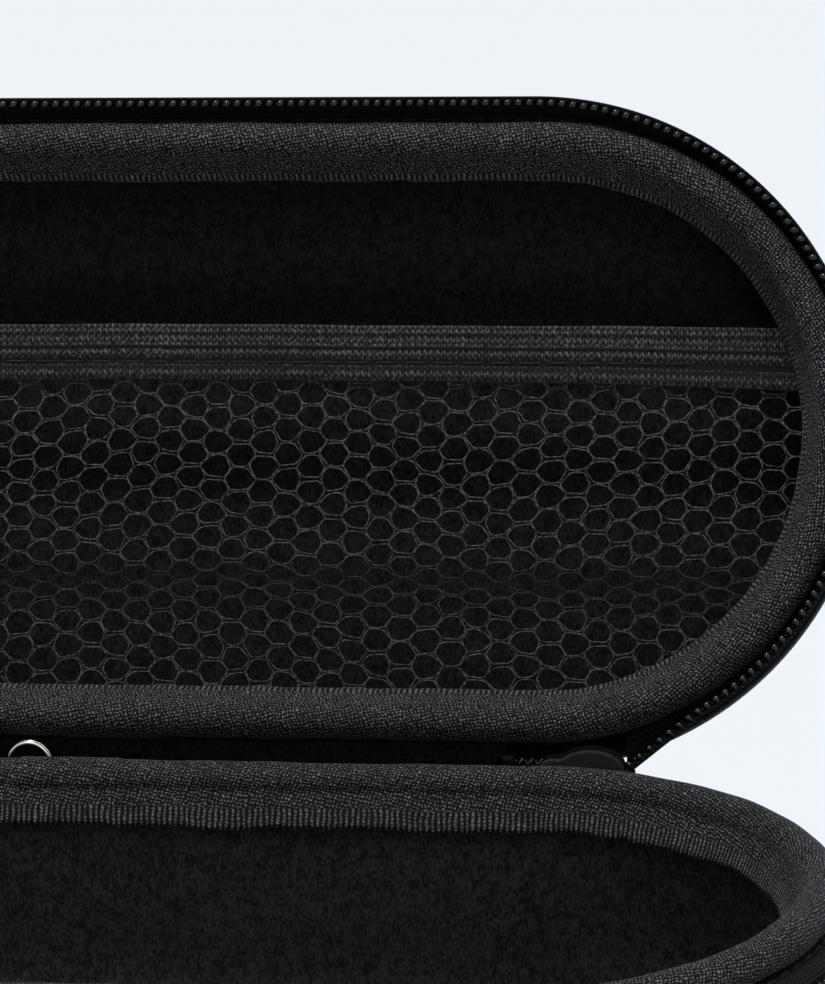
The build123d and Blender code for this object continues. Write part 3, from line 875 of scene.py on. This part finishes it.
faces = net_of_faces(ring_steps, wire_sides, tube=True)
last_ring = wire_sides * (ring_steps - 1)
ends = np.array((np.arange(wire_sides)[::-1], np.arange(wire_sides) + last_ring))
ring = build("split_ring_wire", wire / 1000, faces[:, ::-1], ends[:, ::-1])
ring.data.materials.append(nickel.material)
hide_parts("split_ring")
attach(ring, "ring")

turn = np.radians(np.linspace(-38, 218, 25))
loop_line = np.column_stack((
    ring_back + loop_radius * np.cos(turn),
    ring_low + loop_radius * np.sin(turn),
))
section = strap_section(loop_line, loop_thickness)
loop_x = np.linspace(ring_x - loop_half_width, ring_x + loop_half_width, 7)
grid = np.stack(np.broadcast_arrays(
    loop_x[:, None], section[None, :, 0], section[None, :, 1]
), -1)
across_loop = np.append(run_length(section), 6.0)
loop = skin("ring_scrap_loop", grid / 1000, loop_x, across_loop, tube=True)
loop.data.materials.append(webbing.material)
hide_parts("ring_loop")
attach(loop, "base")


# Pocket band.
# Knitted elastic across the lid, with looped edges, a groove below its middle, and a row of needle
# holes where the net is sewn behind it. It is stretched from one side of the lid to the other.
band_low = 6.3
band_high = 12.8
band_height = -3.0
band_stitch_pitch = 3.4

elastic = Finish("elastic", (0.05, 0.05, 0.056), 0.7, Specular_IOR_Level=0.1,
                 Sheen_Weight=0.08, Sheen_Roughness=0.4)
along, across = elastic.cloth()
lint = elastic.grain(elastic.place(), 0.0005, 3.0)
tugs = elastic.grain(elastic.place(), 0.003, 2.0)
down = 1 - across * (1 / (band_high - band_low))
loops = (along * (1 / 0.75) + (tugs - 0.5) * 0.5).zigzag()
vees = (down * 8 + loops * 0.55 + (lint - 0.5) * 0.5).wave()
strokes = (along * (1 / 0.37) + loops * 0.5 + (lint - 0.5) * 1.6).wave()
rows = elastic.add("ShaderNodeValToRGB", {"stops": tuple((spot, (level,) * 3) for spot, level in (
    (0.0, 0.8), (0.1, 1.0), (0.155, 0.45), (0.19, 0.8), (0.36, 0.85), (0.41, 0.06), (0.45, 0.9),
    (0.58, 0.7), (0.64, 0.2), (0.7, 0.25), (0.73, 0.6), (0.77, 0.3), (0.82, 0.75), (1.0, 0.8),
))}, {0: down})
# The needle holes are painted dark as the shade in them.
by_holes = down.step(0.57, 0.62) * (1 - down.step(0.68, 0.73))
needle_hole_shade = (along * (1 / band_stitch_pitch)).zigzag().step(0.8, 0.95) * by_holes
height = (vees * 0.5 + strokes * 0.5) * rows * (1 - needle_hole_shade)
# The colour follows the knit's height: the raised loops are painted light as highlights, and the low
# rows, the groove and the needle holes are painted near black as shade.
bright = (height * (0.1 + 1.3 * lint)).step(0.12, 0.85)
colour = elastic.blend(bright, (0.0035, 0.0035, 0.0045, 1), (0.13, 0.133, 0.145, 1))
elastic.feed("Base Color", colour)
elastic.relief(height, 0.00022)

band_up = np.linspace(band_low, band_high, 22)
band_reach = half_spacing + np.sqrt(34.2**2 - band_high**2)
band_x = np.linspace(-band_reach, band_reach, 260)
bow = 0.1 * np.sin(band_x / 9.0) + 0.05 * np.sin(band_x / 3.1)
widen = np.clip((np.abs(band_x) - 35) / 50, 0, 1)[:, None] ** 2
share = (band_up - band_low) / (band_high - band_low)
up_face = band_up + bow[:, None] * 0.6 - widen * (0.3 + 0.7 * (1 - share))
ridge = 0.12 * np.abs(np.sin(share * 4 * np.pi)) - 0.25 * np.exp(-(((share - 0.34) / 0.06) ** 2))
front_face = np.broadcast_arrays(band_x[:, None], up_face, band_height - 0.15 + ridge)
back_face = np.broadcast_arrays(band_x[:, None], up_face[:, ::-1], band_height - 0.8)
across_band = np.append(band_up - band_low, (band_up - band_low)[::-1])
grid = place("lid", *(np.hstack((a, b)) for a, b in zip(front_face, back_face)))
band = skin("pocket_band", grid, band_x + band_reach, np.append(across_band, 0.0), tube=True)
band.data.materials.append(elastic.material)
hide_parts("pocket_elastic")
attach(band, "lid")


# Pocket net.
# Warp-knitted net of six-sided holes, sewn in under the bound seam and to the band. Each hole is a
# loop of thread that lies against its neighbours, so that every bar is two threads side by side.
column_pitch = 2.85
row_pitch = 2.88
net_height = -3.25
net_radius = 33.6
fold_line = -18.0
hole_half_width = 1.8
hole_half_height = 1.47
loop_steps = 18
loop_sides = 4
thread_radius = 0.085

netting = Finish("net", (0.1, 0.1, 0.105), 0.8, Specular_IOR_Level=0.06, Sheen_Weight=0.08)
fuzz = netting.grain(netting.place(), 0.0004, 3.0)
fold_up = float(place("lid", 0.0, fold_line, net_height)[2])
up_net = netting.add("ShaderNodeSeparateXYZ", {}, {0: netting.place()}, "Z")
# Along the fold line the net is painted darker, as the shade in the fold.
above = up_net.step(fold_up + 0.0005, fold_up + 0.004)
fold_shade = up_net.step(fold_up - 0.0045, fold_up - 0.002) * (1 - above)
shade = fuzz.step(0.3, 0.7) * (1 - fold_shade * 0.65)
colour = netting.blend(shade, (0.01, 0.01, 0.011, 1), (0.115, 0.115, 0.12, 1))
netting.feed("Base Color", colour)
netting.relief(fuzz, 0.00008)

columns = np.arange(-int(90 / column_pitch), int(90 / column_pitch) + 1)
rows = np.arange(0, 16)
hole_x, hole_row = np.meshgrid(columns, rows, indexing="ij")
hole_y = band_low + 1.9 - row_pitch * (hole_row + 0.5 * (hole_x % 2))
hole_x = hole_x * column_pitch
past = np.maximum(np.abs(hole_x) - half_spacing, 0)
inside = np.hypot(past, hole_y) < net_radius
hole_x, hole_y = hole_x[inside], hole_y[inside]
turn = np.linspace(0, 2 * np.pi, loop_steps + 1)[:-1]
corner_turn = np.mod(turn, np.pi / 3) - np.pi / 6
hexagon = np.cos(np.pi / 6) / np.cos(corner_turn)
size = hexagon * 0.6 + 0.4 * 0.93
loop_number = np.arange(len(hole_x))[:, None]
uneven = 1 + 0.07 * np.sin(loop_number * 2.4 + 3 * turn) + 0.04 * np.sin(loop_number * 5.1)
x = hole_x[:, None] + size * np.cos(turn) * hole_half_width * uneven
y = hole_y[:, None] + size * np.sin(turn) * hole_half_height * uneven
drift_x = 0.3 * np.sin(y / 6.1 + 1.0) + 0.22 * np.sin(x / 8.3 + y / 4.7)
drift_y = 0.35 * np.sin(x / 11.0) + 0.2 * np.sin(x / 3.9 + y / 5.1)
drift_y = drift_y - 0.9 * np.tanh((y - fold_line) / 2.4)
by_band = np.clip((y - band_low + 4.5) / 2.5, 0, 1)
by_seam = np.clip((np.hypot(np.maximum(np.abs(x) - half_spacing, 0), y) - 25) / 3.5, 0, 1)
held = np.maximum(by_band, by_seam)
lift = 0.35 * np.sin(x / 13.0 + y / 7.0) * np.sin(y / 9.0)
lift = lift - 1.3 * np.exp(-(((y - fold_line) / 2.6) ** 2))
lift = lift * (1 - held) - 0.62 * held + 0.06 * np.sin(x * 2.1 + y * 1.3)
x, y = x + drift_x, y + drift_y
side_out = np.stack((np.cos(turn), np.sin(turn)), -1)
quarter = np.linspace(0, 2 * np.pi, loop_sides + 1)[:-1]
ring_out = np.cos(quarter) * thread_radius
ring_up = np.sin(quarter) * thread_radius
points = place(
    "lid",
    x[:, :, None] + side_out[None, :, None, 0] * ring_out,
    y[:, :, None] + side_out[None, :, None, 1] * ring_out,
    net_height + lift[:, :, None] + ring_up,
)
faces = net_of_faces(loop_steps, loop_sides, ring=True, tube=True)
shift = (np.arange(len(hole_x)) * loop_steps * loop_sides)[:, None, None]
net = build("pocket_netting", points, (faces + shift).reshape(-1, 4))
net.data.materials.append(netting.material)
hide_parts("pocket_net")
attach(net, "lid")


# Stitching of the pocket band.
# One row of long stitches holds the net to the back of the band and pulls a small hole at each end.
count = 43
stitch_x = (np.arange(count) - count // 2) * band_stitch_pitch
centre = place("lid", stitch_x, band_low + 2.05, band_height - 0.2) * 1000
forwards = np.tile((1.0, 0.0, 0.0), (count, 1))
middle = place("lid", 0.0, 0.0, 0.0)
sideways = np.tile(place("lid", 0.0, 1.0, 0.0) - middle, (count, 1)) * 1000
upwards = np.tile(place("lid", 0.0, 0.0, 1.0) - middle, (count, 1)) * 1000
row = stitches("band_stitches", centre, forwards, sideways, upwards,
               length=2.9, width=0.24, rise=0.16)
row.data.materials.append(thread.material)
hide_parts("pocket_stitching")
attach(row, "lid")
